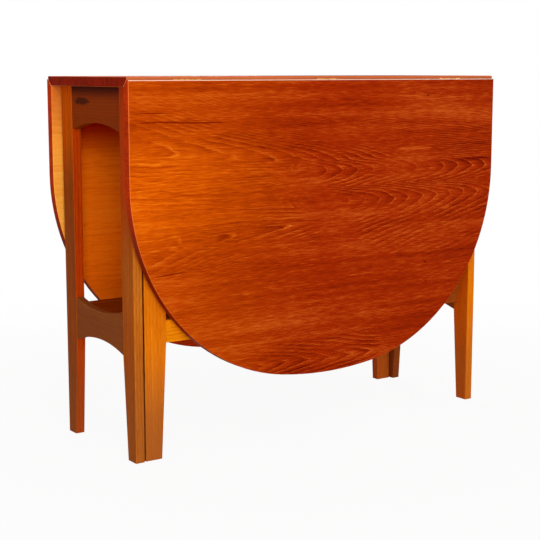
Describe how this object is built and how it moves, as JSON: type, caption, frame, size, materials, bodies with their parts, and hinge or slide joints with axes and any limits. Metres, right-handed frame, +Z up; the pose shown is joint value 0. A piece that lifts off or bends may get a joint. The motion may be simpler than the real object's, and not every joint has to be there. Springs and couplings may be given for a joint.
{
  "type": "drop-leaf gateleg table",
  "caption": "Narrow teak drop-leaf dining table, folded, with half-oval hanging leaves, hinged gates that carry the raised leaves, and arched end rails between tapered legs.",
  "frame": {"origin": "on the floor, under the middle of the fixed top", "axes": "+Z up, +X along the table towards the end of the rear gate leg, +Y towards the rear leaf"},
  "size_m": [0.915, 0.3408, 0.735],
  "materials": {
    "teak_board": "satin",
    "teak_frame": "satin",
    "dowel": "matte",
    "hinge": "satin",
    "screw": "satin"
  },
  "bodies": {
    "frame": {"end_rail_dowels": "dowel", "front_board_hinge_plates": "hinge", "front_board_hinge_screws": "screw", "front_gate_dowels": "dowel", "front_gate_fixed_plates": "hinge", "front_gate_fixed_screws": "screw", "front_gate_hinge_pins": "hinge", "front_gate_leg": "teak_frame", "front_gate_lower_rail": "teak_frame", "front_gate_moving_plates": "hinge", "front_gate_moving_screws": "screw", "front_gate_stile": "teak_frame", "front_gate_upper_rail": "teak_frame", "front_leaf_hinge_pins": "hinge", "front_stretcher": "teak_frame", "front_upper_rail": "teak_frame", "left_front_leg": "teak_frame", "left_lower_rail": "teak_frame", "left_rear_leg": "teak_frame", "left_upper_rail": "teak_frame", "long_rail_dowels": "dowel", "rear_board_hinge_plates": "hinge", "rear_board_hinge_screws": "screw", "rear_gate_dowels": "dowel", "rear_gate_fixed_plates": "hinge", "rear_gate_fixed_screws": "screw", "rear_gate_hinge_pins": "hinge", "rear_gate_leg": "teak_frame", "rear_gate_lower_rail": "teak_frame", "rear_gate_moving_plates": "hinge", "rear_gate_moving_screws": "screw", "rear_gate_stile": "teak_frame", "rear_gate_upper_rail": "teak_frame", "rear_leaf_hinge_pins": "hinge", "rear_stretcher": "teak_frame", "rear_upper_rail": "teak_frame", "right_front_leg": "teak_frame", "right_lower_rail": "teak_frame", "right_rear_leg": "teak_frame", "right_upper_rail": "teak_frame", "top_board": "teak_board", "top_fixing_blocks": "teak_frame", "top_fixing_screws": "screw"},
    "rear_leaf": {"rear_leaf": "teak_board", "rear_leaf_hinge_plates": "hinge", "rear_leaf_hinge_screws": "screw", "rear_gate_stop": "teak_frame", "rear_gate_stop_screws": "screw"},
    "front_leaf": {"front_leaf": "teak_board", "front_leaf_hinge_plates": "hinge", "front_leaf_hinge_screws": "screw", "front_gate_stop": "teak_frame", "front_gate_stop_screws": "screw"}
  },
  "joints": [
    {"name": "rear_leaf_hinge", "type": "hinge", "parent": "frame", "child": "rear_leaf", "pos_m": [0, 0.1643, 0.7289], "axis": [1, 0, 0], "range_deg": [0, 90]},
    {"name": "front_leaf_hinge", "type": "hinge", "parent": "frame", "child": "front_leaf", "pos_m": [0, -0.1643, 0.7289], "axis": [-1, 0, 0], "range_deg": [0, 90]}
  ]
}
